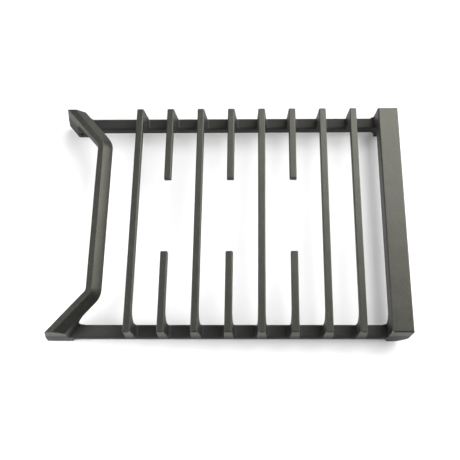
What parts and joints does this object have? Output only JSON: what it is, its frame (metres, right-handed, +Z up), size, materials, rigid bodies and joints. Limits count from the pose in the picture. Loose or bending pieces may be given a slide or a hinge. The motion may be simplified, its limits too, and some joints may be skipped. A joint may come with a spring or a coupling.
{
  "type": "hob pan support",
  "caption": "Cast pan support for a gas hob: parallel cross bars and short fingers on rails, a wide bar at one end, a kinked bar at the other, and corner feet.",
  "frame": {"origin": "centre of the underside of the bounding box, on the hob surface between the feet", "axes": "+X along the rails towards the wide bar, +Y to the back, +Z up"},
  "size_m": [0.3906, 0.262, 0.0495],
  "materials": {
    "enamelled_iron": "matt vitreous enamel with a fine cast grain"
  },
  "bodies": {
    "root": {"pan_support": "enamelled_iron"}
  },
  "joints": []
}
